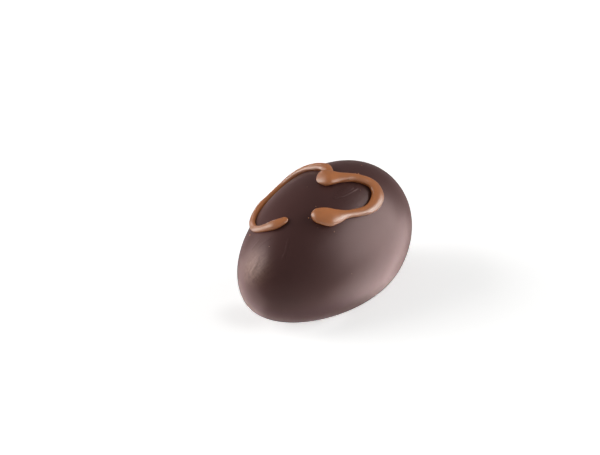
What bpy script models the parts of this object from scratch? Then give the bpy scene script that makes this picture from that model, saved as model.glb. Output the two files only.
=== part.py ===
"""Marzipan egg: a dark chocolate coat, flat underneath, with a piped milk chocolate swirl on it.

The egg lies on its side. X runs along it with the pointed end at -X, Z is up, and the
origin is on the resting face. Metres, unless a name says otherwise.
"""

import math

import bmesh
import bpy
from mathutils import Vector

MM = 0.001

# The coated egg
EGG_LENGTH = 0.0500
EGG_WIDTH = 0.0290
SECTION_DEPTH = 0.0331  # full height of the round section, before its underside is flat
AXIS_HEIGHT = 0.0115  # of the long axis above the resting face
POINTEDNESS = 0.11  # 0 is an ellipsoid; more draws the -X end out
RIM_BLEND = 0.0040  # half the height over which the flank turns into the resting face
TIP_BLEND = 1.0  # how much that height has grown, as a share of it, at the pointed tip
FLAT_BELOW = 0.0001  # what would be lower than this lies on the resting face

# The piped bead: an oval section that stands on the coat and bulges past its own foot
BEAD_CENTRE_SHARE = 0.42  # height of the oval's centre, as a share of the bead's height
BEAD_HALF_SHARE = 0.58  # half the oval's height, as a share of the bead's height

# Mesh density
EGG_RINGS = 52
EGG_SIDES = 44
BEAD_STEP = 0.0008
BEAD_SIDES = 12
END_RINGS = 4
SHARP_ANGLE = 35.0  # degrees; edges that turn more than this are shaded sharp

# Where the bead runs. Each knot is a station along the egg in mm, a roll from the crown
# towards +Y in degrees, and the bead's width and height there in mm.
FLANK_STROKE = (
    (-13.7, -3.7, 1.1, 0.7),
    (-14.8, -1, 1.8, 1.1),
    (-16.0, 5, 2.2, 1.3),
    (-16.7, 14, 1.9, 1.1),
    (-16.9, 25, 1.6, 1.0),
    (-16.0, 36, 1.5, 1.0),
    (-13.4, 46, 1.5, 1.0),
    (-10.0, 52, 1.6, 1.1),
    (-6.4, 54.5, 1.7, 1.2),
    (-2.2, 56, 1.7, 1.1),
    (1.6, 50.5, 1.8, 1.1),
    (3.8, 37.5, 1.9, 1.2),
    (4.2, 25, 2.2, 1.2),
    (4.1, 15, 2.5, 1.3),
    (3.8, 7.5, 2.4, 1.4),
    (2.8, 2.2, 2.2, 1.5),
    (1.6, -3, 2.0, 1.5),
)
CROWN_STROKE = (
    (-2.0, -0.5, 3.2, 1.2),
    (-1.1, -2.5, 4.1, 1.6),
    (0.0, -4.5, 4.6, 2.1),
    (0.9, -7.8, 3.8, 1.9),
    (2.1, -12.0, 2.5, 1.7),
    (3.5, -15.8, 2.0, 1.6),
    (4.7, -19.0, 1.9, 1.5),
    (6.0, -23.8, 2.0, 1.5),
    (7.1, -29.0, 2.3, 1.4),
    (7.4, -34.5, 2.8, 1.4),
    (6.3, -41.5, 3.0, 1.5),
    (3.9, -45.5, 2.6, 1.4),
    (1.1, -46, 2.0, 1.3),
    (-1.8, -43, 1.7, 1.1),
    (-4.2, -39.5, 1.8, 1.2),
    (-6.3, -36.5, 3.0, 1.6),
    (-8.1, -32.5, 4.1, 1.9),
    (-9.5, -26.5, 3.6, 1.8),
    (-10.6, -20.5, 2.5, 1.5),
)

# Colours as the shader takes them
DARK_CHOCOLATE = (0.046, 0.022, 0.019, 1.0)
MILK_CHOCOLATE = (0.42, 0.17, 0.082, 1.0)
DARK_ROUGHNESS = 0.38
MILK_ROUGHNESS = 0.42


def clear_scene():
    for obj in list(bpy.data.objects):
        bpy.data.objects.remove(obj)


def chocolate(name, colour, roughness):
    material = bpy.data.materials.new(name)
    material.use_nodes = True
    shader = material.node_tree.nodes["Principled BSDF"]
    shader.inputs["Base Color"].default_value = colour
    shader.inputs["Roughness"].default_value = roughness
    shader.inputs["Metallic"].default_value = 0.0
    return material


def section_share(station):
    """Size of the egg's section at a station, as a share of its largest."""
    along = max(-1.0, min(1.0, station / (EGG_LENGTH / 2)))
    lean = 1 - 2 * POINTEDNESS * along + POINTEDNESS**2
    return math.sqrt(max(0.0, (1 - along * along) / lean))


def pressed(station, height):
    """Height once the underside is flat: a parabola joins the flank to the resting face."""
    towards_tip = max(0.0, -station / (EGG_LENGTH / 2))
    blend = RIM_BLEND * (1 + TIP_BLEND * towards_tip**2)
    if height >= blend:
        return height
    lifted = max(0.0, height + blend) ** 2 / (4 * blend)
    return lifted if lifted > FLAT_BELOW else 0.0


def coat_point(station, roll):
    """Point of the coat at a station and a roll from the crown towards +Y, in radians."""
    share = section_share(station)
    return Vector((
        station,
        EGG_WIDTH / 2 * share * math.sin(roll),
        pressed(station, AXIS_HEIGHT + SECTION_DEPTH / 2 * share * math.cos(roll)),
    ))


def coat_normal(station, roll, reach=1e-4):
    along = coat_point(station + reach, roll) - coat_point(station - reach, roll)
    around = coat_point(station, roll + 0.01) - coat_point(station, roll - 0.01)
    return along.cross(around).normalized()


def mesh_object(name, points, faces, material):
    mesh = bpy.data.meshes.new(name)
    mesh.from_pydata(points, [], faces)
    mesh.materials.append(material)
    shape = bmesh.new()
    shape.from_mesh(mesh)
    bmesh.ops.recalc_face_normals(shape, faces=shape.faces)
    shape.to_mesh(mesh)
    shape.free()
    mesh.shade_smooth()
    obj = bpy.data.objects.new(name, mesh)
    bpy.context.scene.collection.objects.link(obj)
    return obj


def skin(rings, first_tip, last_tip):
    """Points and faces of a closed body through rings of equal size, closed by two tips."""
    sides = len(rings[0])
    points = [first_tip] + [point for ring in rings for point in ring] + [last_tip]
    faces = []
    for side in range(sides):
        after = (side + 1) % sides
        faces.append((0, 1 + side, 1 + after))
        for ring in range(len(rings) - 1):
            low = 1 + ring * sides
            high = low + sides
            faces.append((low + side, high + side, high + after, low + after))
        last = 1 + (len(rings) - 1) * sides
        faces.append((last + side, len(points) - 1, last + after))
    return points, faces


def make_egg(material):
    """The coat, as sections along the long axis that close up towards both ends."""
    rings = []
    for ring in range(1, EGG_RINGS):
        station = -EGG_LENGTH / 2 * math.cos(math.pi * ring / EGG_RINGS)
        rings.append([
            coat_point(station, 2 * math.pi * side / EGG_SIDES) for side in range(EGG_SIDES)
        ])
    tips = (coat_point(-EGG_LENGTH / 2, 0), coat_point(EGG_LENGTH / 2, 0))
    return mesh_object("egg", *skin(rings, *tips), material)


def between_knots(knots, position):
    """The four values of a knot at a fractional position, on a Catmull-Rom curve."""
    index = min(int(position), len(knots) - 2)
    share = position - index
    picked = [knots[max(0, min(len(knots) - 1, index + step))] for step in (-1, 0, 1, 2)]
    mixed = []
    for before, start, end, after in zip(*picked):
        bend = 2 * before - 5 * start + 4 * end - after
        twist = 3 * start - before - 3 * end + after
        mixed.append(start + share * (end - before + share * (bend + share * twist)) / 2)
    return mixed


def bead_track(knots):
    """Points evenly spaced along a stroke, as (distance, place, up, width, height)."""
    fine = 24 * (len(knots) - 1)
    track = []
    distance = 0.0
    for count in range(fine + 1):
        station, roll, width, height = between_knots(knots, count * (len(knots) - 1) / fine)
        place = coat_point(station * MM, math.radians(roll))
        up = coat_normal(station * MM, math.radians(roll))
        if track:
            distance += (place - track[-1][1]).length
        track.append((distance, place, up, width * MM, height * MM))
    return track


def at_distance(track, distance):
    """Place, direction, up, width and height of a stroke at a distance along it."""
    after = next((i for i, row in enumerate(track) if row[0] >= distance), len(track) - 1)
    after = max(1, after)
    low, high = track[after - 1], track[after]
    share = (distance - low[0]) / (high[0] - low[0])
    place = low[1].lerp(high[1], share)
    up = low[2].lerp(high[2], share).normalized()
    ahead = track[min(after + 1, len(track) - 1)][1] - track[max(after - 2, 0)][1]
    width = low[3] + share * (high[3] - low[3])
    height = low[4] + share * (high[4] - low[4])
    return place, ahead.normalized(), up, width, height


def bead_distances(length, first_radius, last_radius):
    """(distance, share of the full section) for each ring; both ends close in a half round."""
    rows = []
    for ring in range(1, END_RINGS + 1):
        turn = math.pi / 2 * ring / END_RINGS
        rows.append((first_radius * (1 - math.cos(turn)), math.sin(turn)))
    straight = length - first_radius - last_radius
    steps = max(1, round(straight / BEAD_STEP))
    for step in range(1, steps):
        rows.append((first_radius + straight * step / steps, 1.0))
    for ring in range(END_RINGS, 0, -1):
        turn = math.pi / 2 * ring / END_RINGS
        rows.append((length - last_radius * (1 - math.cos(turn)), math.sin(turn)))
    return rows


def make_stroke(name, knots, material):
    """One piped stroke: an oval section carried along its track."""
    track = bead_track(knots)
    length = track[-1][0]
    first_radius, last_radius = track[0][3] / 2, track[-1][3] / 2
    rings = []
    for distance, share in bead_distances(length, first_radius, last_radius):
        place, ahead, up, width, height = at_distance(track, distance)
        across = up.cross(ahead).normalized()
        ring = []
        for side in range(BEAD_SIDES):
            turn = 2 * math.pi * side / BEAD_SIDES
            rise = height * (BEAD_CENTRE_SHARE + BEAD_HALF_SHARE * share * math.sin(turn))
            ring.append(place + across * (width / 2 * share * math.cos(turn)) + up * rise)
        rings.append(ring)
    tips = []
    for row in (track[0], track[-1]):
        tips.append(row[1] + row[2] * (row[4] * BEAD_CENTRE_SHARE))
    return mesh_object(name, *skin(rings, *tips), material)


def fuse(body, additions):
    """Joins the additions to the body as one closed solid."""
    joined = bpy.data.collections.new("strokes")
    for obj in additions:
        joined.objects.link(obj)
    union = body.modifiers.new("union", "BOOLEAN")
    union.operation = "UNION"
    union.operand_type = "COLLECTION"
    union.collection = joined
    union.solver = "EXACT"
    bpy.context.view_layer.objects.active = body
    bpy.ops.object.modifier_apply(modifier=union.name)
    for obj in additions:
        bpy.data.objects.remove(obj)
    bpy.data.collections.remove(joined)


def main():
    clear_scene()
    dark = chocolate("dark_chocolate", DARK_CHOCOLATE, DARK_ROUGHNESS)
    milk = chocolate("milk_chocolate", MILK_CHOCOLATE, MILK_ROUGHNESS)
    egg = make_egg(dark)
    egg.data.materials.append(milk)
    strokes = [
        make_stroke("flank_stroke", FLANK_STROKE, milk),
        make_stroke("crown_stroke", CROWN_STROKE, milk),
    ]
    fuse(egg, strokes)
    egg.data.set_sharp_from_angle(angle=math.radians(SHARP_ANGLE))


main()
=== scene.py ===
import math
import random

import bmesh
import bpy
import numpy as np
from mathutils import Matrix, Vector, noise


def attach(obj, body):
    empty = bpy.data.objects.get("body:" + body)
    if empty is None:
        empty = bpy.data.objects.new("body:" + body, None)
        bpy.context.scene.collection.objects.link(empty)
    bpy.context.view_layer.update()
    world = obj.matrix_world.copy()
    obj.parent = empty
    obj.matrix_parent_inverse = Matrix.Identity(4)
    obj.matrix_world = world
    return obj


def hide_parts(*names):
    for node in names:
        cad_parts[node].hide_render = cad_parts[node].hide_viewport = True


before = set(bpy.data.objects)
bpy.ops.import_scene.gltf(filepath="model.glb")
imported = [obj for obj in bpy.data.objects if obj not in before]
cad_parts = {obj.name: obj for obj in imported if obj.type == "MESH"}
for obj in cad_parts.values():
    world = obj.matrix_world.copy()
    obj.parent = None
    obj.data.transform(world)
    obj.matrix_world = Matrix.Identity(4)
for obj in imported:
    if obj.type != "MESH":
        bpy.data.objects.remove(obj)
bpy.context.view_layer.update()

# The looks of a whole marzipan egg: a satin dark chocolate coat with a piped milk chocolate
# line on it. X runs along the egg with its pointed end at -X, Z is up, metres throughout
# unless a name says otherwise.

MM = 0.001

# The egg, with the sizes of the part it dresses
EGG_LENGTH = 0.0500
EGG_WIDTH = 0.0290
SECTION_DEPTH = 0.0331
AXIS_HEIGHT = 0.0115
POINTEDNESS = 0.11
RIM_BLEND = 0.0040
TIP_BLEND = 1.0

# The piped line: an oval section that stands on the coat
BEAD_CENTRE_SHARE = 0.42
BEAD_HALF_SHARE = 0.58

# Where it runs: station along the egg in mm, roll from the crown towards +Y in degrees,
# width and height in mm
FLANK_STROKE = (
    (-13.7, -3.7, 1.1, 0.7),
    (-14.8, -1, 1.8, 1.1),
    (-16.0, 5, 2.2, 1.3),
    (-16.7, 14, 1.9, 1.1),
    (-16.9, 25, 1.6, 1.0),
    (-16.0, 36, 1.5, 1.0),
    (-13.4, 46, 1.5, 1.0),
    (-10.0, 52, 1.6, 1.1),
    (-6.4, 54.5, 1.7, 1.2),
    (-2.2, 56, 1.7, 1.1),
    (1.6, 50.5, 1.8, 1.1),
    (3.8, 37.5, 1.9, 1.2),
    (4.2, 25, 2.2, 1.2),
    (4.1, 15, 2.5, 1.3),
    (3.8, 7.5, 2.4, 1.4),
    (2.8, 2.2, 2.2, 1.5),
    (1.6, -3, 2.0, 1.5),
)
CROWN_STROKE = (
    (-2.0, -0.5, 3.2, 1.2),
    (-1.1, -2.5, 4.1, 1.6),
    (0.0, -4.5, 4.6, 2.1),
    (0.9, -7.8, 3.8, 1.9),
    (2.1, -12.0, 2.5, 1.7),
    (3.5, -15.8, 2.0, 1.6),
    (4.7, -19.0, 1.9, 1.5),
    (6.0, -23.8, 2.0, 1.5),
    (7.1, -29.0, 2.3, 1.4),
    (7.4, -34.5, 2.8, 1.4),
    (6.3, -41.5, 3.0, 1.5),
    (3.9, -45.5, 2.6, 1.4),
    (1.1, -46, 2.0, 1.3),
    (-1.8, -43, 1.7, 1.1),
    (-4.2, -39.5, 1.8, 1.2),
    (-6.3, -36.5, 3.0, 1.6),
    (-8.1, -32.5, 4.1, 1.9),
    (-9.5, -26.5, 3.6, 1.8),
    (-10.6, -20.5, 2.5, 1.5),
)

# Mesh density
COAT_RINGS = 260
COAT_SIDES = 256
BEAD_STEP = 0.00015
BEAD_SIDES = 48
RIDGE_STEP = 0.00015
RIDGE_SIDES = 24
CURVE_STEPS = 60  # points worked out between two knots
TIP_RINGS = 8  # extra rings where a stroke opens and closes
DIRECTION_EASING = 200  # passes that smooth the way a stroke runs
LUMP_DIVISIONS = 2

# Faint swirl lines in the coat: height in mm, then a path of station in mm and roll in degrees
RIDGES = (
    (0.068, (-3.5, -21.8), (-1.5, -24.8), (0.5, -26.3), (2.2, -26.7), (3.7, -26.8)),
    (0.061, (-2.6, -21.6), (-0.5, -23.8), (1.5, -24.4), (3.0, -23.9)),
    (0.057, (-1.8, -21.3), (0.3, -22.5), (1.8, -22.4), (2.8, -22.2)),
    (0.050, (-16.9, -19.0), (-18.2, -24.0), (-19.2, -28.2), (-20.5, -32.1)),
    (0.055, (-20.7, 31.1), (-20.0, 23.8), (-19.1, 18.9)),
    (0.055, (-20.6, 15.8), (-19.5, 8.5), (-18.4, 1.6)),
    (0.060, (-23.9, 21.4), (-23.3, 12.1), (-22.5, 7.0)),
)
RIDGE_WIDTH = 0.62  # mm

# Crumbs and specks: station in mm, roll in degrees, height above the coat and radius in mm
CRUMBS = (
    (-4.0, 4.6, 0.02, 0.06), (3.8, -29.9, 0.02, 0.09), (-7.9, -17.0, 0.03, 0.10),
    (-8.8, -45.1, 0.03, 0.13), (-11.3, -33.2, 0.02, 0.06), (-20.0, -2.6, 0.03, 0.09),
    (-8.0, -85.1, 0.02, 0.06), (10.1, 12.7, 0.02, 0.09), (5.6, -17.0, 1.05, 0.15),
    (0.1, -1.6, 2.10, 0.12), (2.6, -18.3, 1.15, 0.12), (13.5, 48.0, 0.03, 0.09),
    (6.0, 96.0, 0.02, 0.08),
)
MILK_SPECKS = (
    (-11.1, -20.1, 0.00, 0.14), (8.3, -24.2, 0.05, 0.24), (-16.8, 43.7, 0.02, 0.20),
    (6.3, -18.5, 1.05, 0.15), (12.0, -8.0, 0.03, 0.12),
)
CRUMB_SEED = 12
MILK_SPECK_SEED = 11
LUMP_PRESS = 0.45  # how far a lump is flattened against the surface
LUMP_STRETCH = 0.75, 1.35
LUMP_BUMPS = 1.4, 0.22  # how many over a lump, and how deep as a share of its radius

# Soft relief: waves per metre, height and seed
COAT_RELIEF = (110.0, 0.00003, 1), (260.0, 0.00001, 2)
COAT_RELIEF_FROM = 0.003  # it fades out below this height above the resting face
BEAD_RELIEF = 420.0, 0.00003, 5
SEED_SHIFT = 3.1, 5.7, 1.3  # how far apart two seeds are in the noise

# The view
VIEW_AROUND = -55.0  # degrees; 0 looks along +Y
VIEW_ELEVATION = 28.0
VIEW_DISTANCE = 1.5
FRAME_WIDTH = 0.1282  # what the frame spans at the egg
AXIS_LEFT = 0.00471  # the view's axis passes this far left of the origin,
AXIS_UP = 0.01441  # and this far above it
SENSOR = 36.0  # mm
CLIP = 0.05, 20.0

# Colours and finishes
DARK_BASE = (0.064, 0.0341, 0.0320, 1.0)
SCUFF_AND_HIGHLIGHT_BASE = (0.165, 0.127, 0.092, 1.0)  # the coat's pale patch: a scuff, and a painted highlight where the left lamp's highlight falls
SCUFF_AND_HIGHLIGHT_CORE = (-0.0233, 0.0013, 0.0166)
SCUFF_AND_HIGHLIGHT_REACH = 0.0056
SCRATCH_WAY = (0.62, -0.42, 0.66)  # along the coat, up and to the right in the view
SCRATCH_STRETCH = 9.0
DARK_SHADES = 0.95, 1.06
DARK_ROUGHNESS = 0.33, 0.38
DARK_GRAIN_STRENGTH = 0.5
DARK_IOR = 1.5
MILK_BASE = (0.73, 0.303, 0.083, 1.0)
MILK_GLOSS = (0.76, 1.0, 1.0, 1.0)
MILK_SHADES = 0.90, 1.08
MILK_ROUGHNESS = 0.35, 0.38
MILK_GRAIN_STRENGTH = 0.6
MILK_IOR = 1.85
CRUMB_BASE = (0.42, 0.28, 0.18, 1.0)
CRUMB_SHADES = 0.85, 1.1
CRUMB_ROUGHNESS = 0.6
GRAIN_DEPTH = 0.00001

# Noise textures: scale per metre, detail and roughness
DARK_CLOUDS = 90.0, 3.0, 0.55
DARK_SATIN = 260.0, 4.0, 0.6
# The grain of the pale patch, a scuff that is also a painted highlight
SCUFF_AND_HIGHLIGHT_MOTTLE = 1900.0, 3.0, 0.7
SCUFF_AND_HIGHLIGHT_SCRATCHES = 1500.0, 3.0, 0.7
MILK_CLOUDS = 220.0, 3.0, 0.55
MILK_SATIN = 500.0, 4.0, 0.6
CHOCOLATE_GRAIN = 2600.0, 3.0, 0.6
CRUMB_GRAIN = 3000.0, 2.0, 0.6
NOISE_REACH = 0.3, 0.7  # between these a noise runs from one shade to the other
SCUFF_AND_HIGHLIGHT_GRAIN_REACH = 0.5, 1.4  # the same for the sum of the mottle and the scratches

# The floor
FLOOR_RINGS = (0.05, 0), (0.15, 0), (0.4, 0), (1.0, 0), (2.0, 0), (3.0, 0.02)  # radius, height
FLOOR_SIDES = 96
FLOOR_ROUGHNESS = 0.7
FLOOR_SPECULAR = 0.2
FLOOR_PALE = (0.50, 0.50, 0.50, 1.0)
FLOOR_SEEN = (0.76, 0.98, 1.0, 1.0)  # to the camera: white once the lamps' tint is on it
FLOOR_GLOW = 0.557  # added for the camera only
# Painted shadow: the camera's glow taken down in a soft oval by the egg's pointed end
FLOOR_PAINTED_SHADOW = (-0.0170, 0.0081), (0.0080, 0.0090), 0.25, 0.116  # centre, radii, core, amount
# Painted light: the camera's glow raised in a soft oval under the egg, paling its own shadow
# there
FLOOR_PAINTED_LIGHT = (-0.0083, -0.0027), (0.0116, 0.0095), 0.60, 0.100

# Light
LAMP_TINT = (1.0, 0.775, 0.75)
LAMP_AIM = (0, 0, 0.012)
WORLD_LEVEL = 0.19

# Lamps: degrees around and above, distance, width, height, radiance. The coat and the piped
# line are lit apart: the line's shine is whiter and its body more evenly lit than the coat's.
COAT_LAMPS = (
    ("soft_box_left", -104, 10, 1.1, 1.01, 0.68, 3.1),
    ("soft_box_left_high", -83, 32, 1.1, 0.89, 0.67, 4.25),
    ("soft_box_right", 98, 13, 1.1, 1.03, 0.93, 4.05),
    ("glow_left", -99, -38, 0.8, 1.60, 0.96, 1.4),
    ("glow_right", 112, -31, 0.8, 0.78, 0.55, 3.05),
)
LINE_SHINE_LAMPS = (
    ("shine_left", -105, -2, 1.1, 0.75, 0.90, 3.2),
    ("shine_left_high", -88, 33, 1.1, 0.90, 0.60, 2.4),
    ("shine_right", 94, 6, 1.1, 1.00, 0.62, 3.8),
    ("shine_right_low", 112, -31, 0.8, 0.78, 0.55, 1.6),
    ("shine_edge", -150, 8, 1.1, 0.50, 0.40, 2.1),
)
LINE_FILL_LAMPS = (
    ("fill_top", 0, 75, 1.1, 1.60, 1.60, 0.40),
    ("fill_left", -105, 38, 1.1, 1.00, 0.80, 1.05),
    ("fill_right", 98, 30, 1.1, 1.00, 0.90, 1.15),
)
SHARED_LAMP = ("glow_below", 0, -89.9, 0.8, 1.90, 1.90, 0.43)


# --------------------------------------------------------------------------- view and light


def view_axes():
    """Directions to the right, up and forward as the camera looks."""
    around, rise = math.radians(VIEW_AROUND), math.radians(VIEW_ELEVATION)
    forward = Vector((
        -math.sin(around) * math.cos(rise),
        math.cos(around) * math.cos(rise),
        -math.sin(rise),
    ))
    right = Vector((math.cos(around), math.sin(around), 0.0))
    return right, right.cross(forward), forward


def make_camera():
    right, up, forward = view_axes()
    data = bpy.data.cameras.new("view")
    data.sensor_width = SENSOR
    data.lens = SENSOR * VIEW_DISTANCE / FRAME_WIDTH
    data.clip_start, data.clip_end = CLIP
    camera = bpy.data.objects.new("view", data)
    turn = Matrix((right, up, -forward)).transposed()
    aim = up * AXIS_UP - right * AXIS_LEFT
    camera.matrix_world = Matrix.Translation(aim - forward * VIEW_DISTANCE) @ turn.to_4x4()
    bpy.context.scene.collection.objects.link(camera)
    bpy.context.scene.camera = camera


def soft_box(name, around, rise, distance, width, height, radiance):
    """A soft box: degrees around from the viewer to their right, and degrees above the floor."""
    right = view_axes()[0]
    towards = Vector((0, 0, 1)).cross(right)  # level, away from the viewer
    a, e = math.radians(around), math.radians(rise)
    way = (right * math.sin(a) - towards * math.cos(a)) * math.cos(e)
    way += Vector((0, 0, math.sin(e)))
    data = bpy.data.lights.new(name, "AREA")
    data.shape = "RECTANGLE"
    data.size, data.size_y = width, height
    data.energy = radiance * math.pi * width * height
    data.color = LAMP_TINT
    data.cycles.use_multiple_importance_sampling = False  # it shines through the floor
    lamp = bpy.data.objects.new(name, data)
    lamp.location = Vector(LAMP_AIM) + way * distance
    lamp.rotation_mode = "QUATERNION"
    lamp.rotation_quaternion = way.to_track_quat("Z", "Y")
    lamp.visible_camera = False
    bpy.context.scene.collection.objects.link(lamp)
    return lamp


def light_only(name, lamps, pieces):
    """Lets some lamps light only some pieces."""
    lit = bpy.data.collections.new(name)
    for piece in pieces:
        lit.objects.link(piece)
    for lamp in lamps:
        lamp.light_linking.receiver_collection = lit


def make_lamps(coat_pieces, line_pieces):
    """The coat and the line each get their own lamps, the line's apart for shine and body."""
    soft_box(*SHARED_LAMP)
    light_only("coat_lit", [soft_box(*row) for row in COAT_LAMPS], coat_pieces)
    shine = [soft_box(*row) for row in LINE_SHINE_LAMPS]
    for lamp in shine:
        lamp.visible_diffuse = False
    fill = [soft_box(*row) for row in LINE_FILL_LAMPS]
    for lamp in fill:
        lamp.visible_glossy = False
    light_only("line_lit", shine + fill, line_pieces)


def make_world():
    world = bpy.data.worlds.new("studio")
    world.use_nodes = True
    back = world.node_tree.nodes["Background"]
    back.inputs["Color"].default_value = LAMP_TINT + (1,)
    back.inputs["Strength"].default_value = WORLD_LEVEL
    scene = bpy.context.scene
    scene.world = world
    scene.view_settings.view_transform = "Standard"
    scene.view_settings.look = "None"


# --------------------------------------------------------------------------- shader helpers


class Shader:
    """A material's node tree, with short ways to add nodes and join them."""

    def __init__(self, name):
        self.material = bpy.data.materials.new(name)
        self.material.use_nodes = True
        self.tree = self.material.node_tree
        self.main = self.tree.nodes["Principled BSDF"]
        self.place = self.add("ShaderNodeTexCoord").outputs["Object"]

    def add(self, kind, **settings):
        node = self.tree.nodes.new(kind)
        for key, value in settings.items():
            setattr(node, key, value)
        return node

    def put(self, socket, value):
        if isinstance(value, bpy.types.NodeSocket):
            self.tree.links.new(value, socket)
        else:
            socket.default_value = value

    def math(self, operation, a, b, clamp=False):
        node = self.add("ShaderNodeMath", operation=operation, use_clamp=clamp)
        self.put(node.inputs[0], a)
        self.put(node.inputs[1], b)
        return node.outputs[0]

    def noise(self, scale, detail, rough, place=None):
        node = self.add("ShaderNodeTexNoise")
        self.put(node.inputs["Vector"], place or self.place)
        node.inputs["Scale"].default_value = scale
        node.inputs["Detail"].default_value = detail
        node.inputs["Roughness"].default_value = rough
        return node.outputs["Fac"]

    def between(self, value, low, high, to_low=0.0, to_high=1.0):
        """A value that runs smoothly from one number to another as its input does."""
        node = self.add("ShaderNodeMapRange", interpolation_type="SMOOTHSTEP")
        self.put(node.inputs["Value"], value)
        for name, number in (
            ("From Min", low), ("From Max", high), ("To Min", to_low), ("To Max", to_high)
        ):
            node.inputs[name].default_value = number
        return node.outputs["Result"]

    def mix(self, share, a, b):
        node = self.add("ShaderNodeMix", data_type="RGBA")
        self.put(node.inputs["Factor"], share)
        self.put(node.inputs[6], a)  # the two colours and the mixed one have no name of their own
        self.put(node.inputs[7], b)
        return node.outputs[2]

    def shaded(self, pattern, colour, shades):
        """A colour that a noise makes darker and lighter by these factors."""
        dark, light = (tuple(c * shade for c in colour[:3]) + (1.0,) for shade in shades)
        return self.mix(self.between(pattern, *NOISE_REACH), dark, light)

    def stretched(self, way, factor):
        """The place, drawn out along a direction so that a texture on it turns to streaks."""
        share = self.add("ShaderNodeVectorMath", operation="DOT_PRODUCT")
        self.put(share.inputs[0], self.place)
        share.inputs[1].default_value = way
        along = self.add("ShaderNodeVectorMath", operation="SCALE")
        along.inputs[0].default_value = way
        self.put(along.inputs["Scale"], share.outputs["Value"])
        less = self.add("ShaderNodeVectorMath", operation="SCALE")
        self.put(less.inputs[0], along.outputs["Vector"])
        less.inputs["Scale"].default_value = 1 - 1 / factor
        rest = self.add("ShaderNodeVectorMath", operation="SUBTRACT")
        self.put(rest.inputs[0], self.place)
        self.put(rest.inputs[1], less.outputs["Vector"])
        return rest.outputs["Vector"]

    def distance_to(self, point):
        node = self.add("ShaderNodeVectorMath", operation="DISTANCE")
        self.put(node.inputs[0], self.place)
        node.inputs[1].default_value = point
        return node.outputs["Value"]

    def oval_patch(self, centre, radii, core, amount):
        """A soft oval on the floor: its full amount inside the core share of its radii."""
        offset = self.add("ShaderNodeVectorMath", operation="SUBTRACT")
        self.put(offset.inputs[0], self.place)
        offset.inputs[1].default_value = (*centre, 0)
        scaled = self.add("ShaderNodeVectorMath", operation="DIVIDE")
        self.put(scaled.inputs[0], offset.outputs["Vector"])
        scaled.inputs[1].default_value = (*radii, 1)
        reach = self.add("ShaderNodeVectorMath", operation="LENGTH")
        self.put(reach.inputs[0], scaled.outputs["Vector"])
        return self.between(reach.outputs["Value"], core, 1.0, amount, 0.0)

    def bump(self, height, distance, strength):
        node = self.add("ShaderNodeBump")
        node.inputs["Strength"].default_value = strength
        node.inputs["Distance"].default_value = distance
        self.put(node.inputs["Height"], height)
        return node.outputs["Normal"]


def satin_finish(s, satin, roughness, grain_strength):
    """Slightly uneven gloss and a very fine grain."""
    s.put(s.main.inputs["Roughness"], s.between(s.noise(*satin), *NOISE_REACH, *roughness))
    grain = s.noise(*CHOCOLATE_GRAIN)
    s.put(s.main.inputs["Normal"], s.bump(grain, GRAIN_DEPTH, grain_strength))


def dark_chocolate():
    """The coat: clouded a little, and paler with scratches in one patch, a scuff and a painted
    highlight.
    """
    s = Shader("dark_chocolate_satin")
    plain = s.shaded(s.noise(*DARK_CLOUDS), DARK_BASE, DARK_SHADES)
    mottle = s.noise(*SCUFF_AND_HIGHLIGHT_MOTTLE)
    scratch = s.noise(*SCUFF_AND_HIGHLIGHT_SCRATCHES, s.stretched(SCRATCH_WAY, SCRATCH_STRETCH))
    # Painted highlight and scuff: a paler, scratched patch where the left lamp's highlight falls
    near = s.between(s.distance_to(SCUFF_AND_HIGHLIGHT_CORE), SCUFF_AND_HIGHLIGHT_REACH, 0.0)
    grained = s.between(s.math("ADD", mottle, scratch), *SCUFF_AND_HIGHLIGHT_GRAIN_REACH)
    scuff_and_highlight = s.math("MULTIPLY", near, grained, clamp=True)
    s.put(s.main.inputs["Base Color"], s.mix(scuff_and_highlight, plain, SCUFF_AND_HIGHLIGHT_BASE))
    satin_finish(s, DARK_SATIN, DARK_ROUGHNESS, DARK_GRAIN_STRENGTH)
    s.main.inputs["IOR"].default_value = DARK_IOR
    return s.material


def milk_chocolate():
    """The piped line: clouded a little more, with a whiter shine."""
    s = Shader("milk_chocolate_satin")
    clouds = s.noise(*MILK_CLOUDS)
    s.put(s.main.inputs["Base Color"], s.shaded(clouds, MILK_BASE, MILK_SHADES))
    satin_finish(s, MILK_SATIN, MILK_ROUGHNESS, MILK_GRAIN_STRENGTH)
    s.main.inputs["Specular IOR Level"].default_value = 1.0
    s.main.inputs["Specular Tint"].default_value = MILK_GLOSS
    s.main.inputs["IOR"].default_value = MILK_IOR
    return s.material


def crumb_marzipan():
    s = Shader("crumb_matt")
    grain = s.noise(*CRUMB_GRAIN)
    s.put(s.main.inputs["Base Color"], s.shaded(grain, CRUMB_BASE, CRUMB_SHADES))
    s.main.inputs["Roughness"].default_value = CRUMB_ROUGHNESS
    return s.material


def floor_white():
    """A floor that the camera sees whiter than it lights the egg, with a painted shadow and a
    painted light.
    """
    s = Shader("floor_pale")
    seen = s.add("ShaderNodeLightPath").outputs["Is Camera Ray"]
    s.put(s.main.inputs["Base Color"], s.mix(seen, FLOOR_PALE, FLOOR_SEEN))
    s.main.inputs["Roughness"].default_value = FLOOR_ROUGHNESS
    s.main.inputs["Specular IOR Level"].default_value = FLOOR_SPECULAR
    s.main.inputs["Emission Color"].default_value = (1, 1, 1, 1)
    # Painted shadow and painted light: two ovals take the camera's glow down and up
    painted_shadow, painted_light = s.oval_patch(*FLOOR_PAINTED_SHADOW), s.oval_patch(*FLOOR_PAINTED_LIGHT)
    glow = s.math("ADD", s.math("SUBTRACT", FLOOR_GLOW, painted_shadow), painted_light)
    s.put(s.main.inputs["Emission Strength"], s.math("MULTIPLY", seen, glow))
    return s.material


# --------------------------------------------------------------------------- shapes


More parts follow.
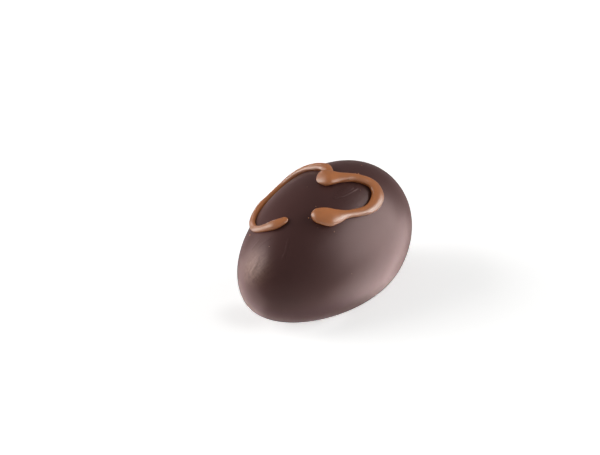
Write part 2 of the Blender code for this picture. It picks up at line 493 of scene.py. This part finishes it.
def section_share(station):
    """Size of the egg's section at a station, as a share of its largest."""
    along = np.clip(station / (EGG_LENGTH / 2), -1.0, 1.0)
    lean = 1 - 2 * POINTEDNESS * along + POINTEDNESS**2
    return np.sqrt(np.maximum(0.0, (1 - along * along) / lean))


def pressed(station, height):
    """Height once the underside is flat: a parabola joins the flank to the resting face."""
    towards_tip = np.maximum(0.0, -station / (EGG_LENGTH / 2))
    blend = RIM_BLEND * (1 + TIP_BLEND * towards_tip**2)
    lifted = np.maximum(0.0, height + blend) ** 2 / (4 * blend)
    return np.where(height >= blend, height, lifted)


def coat_points(station, roll):
    """Points of the coat, for arrays of stations and of rolls in radians."""
    share = section_share(station)
    return np.stack([
        station + 0.0 * roll,
        EGG_WIDTH / 2 * share * np.sin(roll),
        pressed(station, AXIS_HEIGHT + SECTION_DEPTH / 2 * share * np.cos(roll)),
    ], axis=-1)


def unit(vectors):
    return vectors / np.maximum(1e-12, np.linalg.norm(vectors, axis=-1, keepdims=True))


def coat_normals(station, roll, reach=1e-4, turn=0.01):
    """Outward directions of the coat, from points a little way off along it and around it."""
    along = coat_points(station + reach, roll) - coat_points(station - reach, roll)
    around = coat_points(station, roll + turn) - coat_points(station, roll - turn)
    return unit(np.cross(along, around))


def on_coat(points):
    """Station and roll of the coat under some points beside it."""
    side = points[..., 1] / (EGG_WIDTH / 2)
    top = (points[..., 2] - AXIS_HEIGHT) / (SECTION_DEPTH / 2)
    return points[..., 0], np.arctan2(side, top)


def relief(points, scale, amount, seed):
    """Soft unevenness, one height for each point."""
    shift = Vector(SEED_SHIFT) * seed
    return np.array([
        amount * noise.noise(Vector(p) * scale + shift, noise_basis="PERLIN_NEW") for p in points
    ])


def mesh_object(name, points, faces, material):
    mesh = bpy.data.meshes.new(name)
    mesh.from_pydata([tuple(p) for p in points], [], faces)
    mesh.materials.append(material)
    shape = bmesh.new()
    shape.from_mesh(mesh)
    bmesh.ops.recalc_face_normals(shape, faces=shape.faces)
    shape.to_mesh(mesh)
    shape.free()
    mesh.shade_smooth()
    obj = bpy.data.objects.new(name, mesh)
    bpy.context.scene.collection.objects.link(obj)
    return obj


def skin(rings, sides, first=0):
    """Faces of a body through rings of points, with a point before the first and one after."""
    tip, end = first, first + 1 + rings * sides
    faces = []
    for side in range(sides):
        after = (side + 1) % sides
        faces.append((tip, first + 1 + side, first + 1 + after))
        for ring in range(rings - 1):
            low = first + 1 + ring * sides
            faces.append((low + side, low + sides + side, low + sides + after, low + after))
        last = first + 1 + (rings - 1) * sides
        faces.append((last + side, end, last + after))
    return faces


def make_coat(material):
    """The coat, as sections along the long axis that close up towards both ends."""
    turn = np.pi * np.arange(1, COAT_RINGS) / COAT_RINGS
    station = (-EGG_LENGTH / 2 * np.cos(turn))[:, None]
    roll = (2 * np.pi * np.arange(COAT_SIDES) / COAT_SIDES)[None, :]
    rings = coat_points(station, roll).reshape(-1, 3)
    normals = coat_normals(station, roll).reshape(-1, 3)
    uneven = sum(relief(rings, *waves) for waves in COAT_RELIEF)
    uneven *= np.clip(rings[:, 2] / COAT_RELIEF_FROM, 0.0, 1.0)
    rings = rings + normals * uneven[:, None]
    tips = coat_points(np.array([-EGG_LENGTH / 2, EGG_LENGTH / 2]), np.zeros(2))
    points = np.vstack([tips[:1], rings, tips[1:]])
    return mesh_object("coat", points, skin(COAT_RINGS - 1, COAT_SIDES), material)


def between_knots(knots, positions):
    """The four values of a knot at fractional positions, on a Catmull-Rom curve."""
    table = np.array(knots, float)
    index = np.minimum(positions.astype(int), len(knots) - 2)
    share = (positions - index)[:, None]
    before, start, end, after = (
        table[np.clip(index + step, 0, len(knots) - 1)] for step in (-1, 0, 1, 2)
    )
    bend = 2 * before - 5 * start + 4 * end - after
    twist = 3 * start - before - 3 * end + after
    return start + share * (end - before + share * (bend + share * twist)) / 2


def eased(rows, passes):
    """The rows with each one drawn towards its two neighbours, over and over."""
    rows = rows.copy()
    for _ in range(passes):
        rows[1:-1] = (rows[:-2] + 2 * rows[1:-1] + rows[2:]) / 4
    return rows


def stroke_points(knots, step, sides, waves):
    """Rings of points round one stroke between its two tips, and how many rings they are.

    The oval section lies along the coat, and both of its axes shrink to nothing at the tips.
    """
    last_knot = len(knots) - 1
    fine = between_knots(knots, np.linspace(0, last_knot, CURVE_STEPS * last_knot + 1))
    place = coat_points(fine[:, 0] * MM, np.radians(fine[:, 1]))
    far = np.concatenate([[0], np.cumsum(np.linalg.norm(np.diff(place, axis=0), axis=1))])
    length, first, last = far[-1], fine[0, 2] / 2 * MM, fine[-1, 2] / 2 * MM
    steps = int(length / step)
    even = np.linspace(0, length, steps + 1)[1:-1]
    opening = np.linspace(0, 1, TIP_RINGS + 1)[1:] ** 2 * step
    even = np.concatenate([opening[:-1], even, (length - opening[:-1])[::-1]])
    rows = np.stack([np.interp(even, far, fine[:, i]) for i in range(4)], axis=-1)
    lead = np.clip(even / first, 0, 1)
    tail = np.clip((length - even) / last, 0, 1)
    full = np.sqrt((1 - (1 - lead) ** 2) * (1 - (1 - tail) ** 2))
    centre = coat_points(rows[:, 0] * MM, np.radians(rows[:, 1]))
    up = coat_normals(rows[:, 0] * MM, np.radians(rows[:, 1]))
    ahead = unit(eased(np.gradient(centre, even, axis=0), DIRECTION_EASING))
    across = unit(np.cross(up, ahead))
    turn = 2 * np.pi * np.arange(sides) / sides
    width = rows[:, 2] * MM / 2 * full
    beside = centre[:, None] + across[:, None] * (width[:, None] * np.cos(turn))[..., None]
    rise = BEAD_CENTRE_SHARE + BEAD_HALF_SHARE * full[:, None] * np.sin(turn)
    rise = rise * (rows[:, 3] * MM)[:, None]
    station, roll = on_coat(beside)
    rings = coat_points(station, roll) + coat_normals(station, roll) * rise[..., None]
    out = unit(rings - rings.mean(axis=1, keepdims=True)).reshape(-1, 3)
    rings = rings.reshape(-1, 3)
    if waves:
        rings += out * relief(rings, *waves)[:, None]
    tips = []
    for at in (0, -1):
        foot = coat_points(fine[at, 0] * MM, np.radians(fine[at, 1]))
        painted_light = coat_normals(fine[at, 0] * MM, np.radians(fine[at, 1]))
        tips.append(foot + painted_light * fine[at, 3] * MM * BEAD_CENTRE_SHARE)
    return np.vstack([tips[0], rings, tips[1]]), len(rows)


def make_strokes(name, strokes, material, step, sides, waves=None):
    """One piece from several strokes, with soft relief if waves are given."""
    points, faces = [], []
    for knots in strokes:
        stroke, rings = stroke_points(knots, step, sides, waves)
        faces += skin(rings, sides, len(points))
        points += list(stroke)
    return mesh_object(name, points, faces, material)


def make_line(material):
    """The piped line: the stroke along the flank ends under the start of the one on the crown."""
    strokes = (FLANK_STROKE, CROWN_STROKE)
    return make_strokes("piped_line", strokes, material, BEAD_STEP, BEAD_SIDES, BEAD_RELIEF)


def make_ridges(material):
    """Faint swirl lines in the coat."""
    strokes = [
        [(station, roll, RIDGE_WIDTH, height) for station, roll in path]
        for height, *path in RIDGES
    ]
    return make_strokes("coat_ridges", strokes, material, RIDGE_STEP, RIDGE_SIDES)


def make_lumps(name, places, material, seed):
    """Small uneven lumps pressed on the surface."""
    chance = random.Random(seed)
    bumps, depth = LUMP_BUMPS
    points, faces = [], []
    for station, roll, height, radius in places:
        at = np.array([station * MM]), np.array([math.radians(roll)])
        up = Vector(coat_normals(*at)[0])
        centre = Vector(coat_points(*at)[0]) + up * height * MM
        shape = bmesh.new()
        bmesh.ops.create_icosphere(shape, subdivisions=LUMP_DIVISIONS, radius=radius * MM)
        turn = Matrix.Rotation(chance.uniform(0, math.pi), 3, up)
        stretch = chance.uniform(*LUMP_STRETCH)
        first = len(points)
        for vert in shape.verts:
            place = vert.co / (radius * MM) * bumps + Vector((first, 0, 0))
            spot = turn @ Vector((vert.co.x * stretch, vert.co.y / stretch, vert.co.z))
            spot *= 1 + depth * noise.noise(place)
            points.append(centre + spot - up * spot.dot(up) * LUMP_PRESS)
        faces += [tuple(first + vert.index for vert in face.verts) for face in shape.faces]
        shape.free()
    return mesh_object(name, points, faces, material)


def make_floor(material):
    """A wide round sheet with a soft upturned rim far away."""
    shape = bmesh.new()
    turns = [2 * math.pi * side / FLOOR_SIDES for side in range(FLOOR_SIDES)]
    rings = [
        [
            shape.verts.new((radius * math.cos(turn), radius * math.sin(turn), height))
            for turn in turns
        ]
        for radius, height in FLOOR_RINGS
    ]
    shape.faces.new(rings[0])
    for inner, outer in zip(rings, rings[1:]):
        for side in range(FLOOR_SIDES):
            after = (side + 1) % FLOOR_SIDES
            shape.faces.new((inner[side], outer[side], outer[after], inner[after]))
    mesh = bpy.data.meshes.new("floor")
    shape.to_mesh(mesh)
    shape.free()
    mesh.materials.append(material)
    floor = bpy.data.objects.new("floor", mesh)
    bpy.context.scene.collection.objects.link(floor)
    floor.visible_shadow = False
    return floor


def dress(piece):
    """Hangs a piece on the root body and hides the imported egg."""
    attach(piece, "root")
    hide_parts("egg")


def main():
    make_camera()
    make_world()
    dark, milk, crumb = dark_chocolate(), milk_chocolate(), crumb_marzipan()
    floor = make_floor(floor_white())
    coat_pieces = [make_coat(dark), make_ridges(dark)]
    line_pieces = [
        make_line(milk),
        make_lumps("milk_specks", MILK_SPECKS, milk, MILK_SPECK_SEED),
        make_lumps("marzipan_crumbs", CRUMBS, crumb, CRUMB_SEED),
    ]
    for piece in coat_pieces:
        dress(piece)
    for piece in line_pieces:
        dress(piece)
    make_lamps([*coat_pieces, floor], line_pieces)


main()
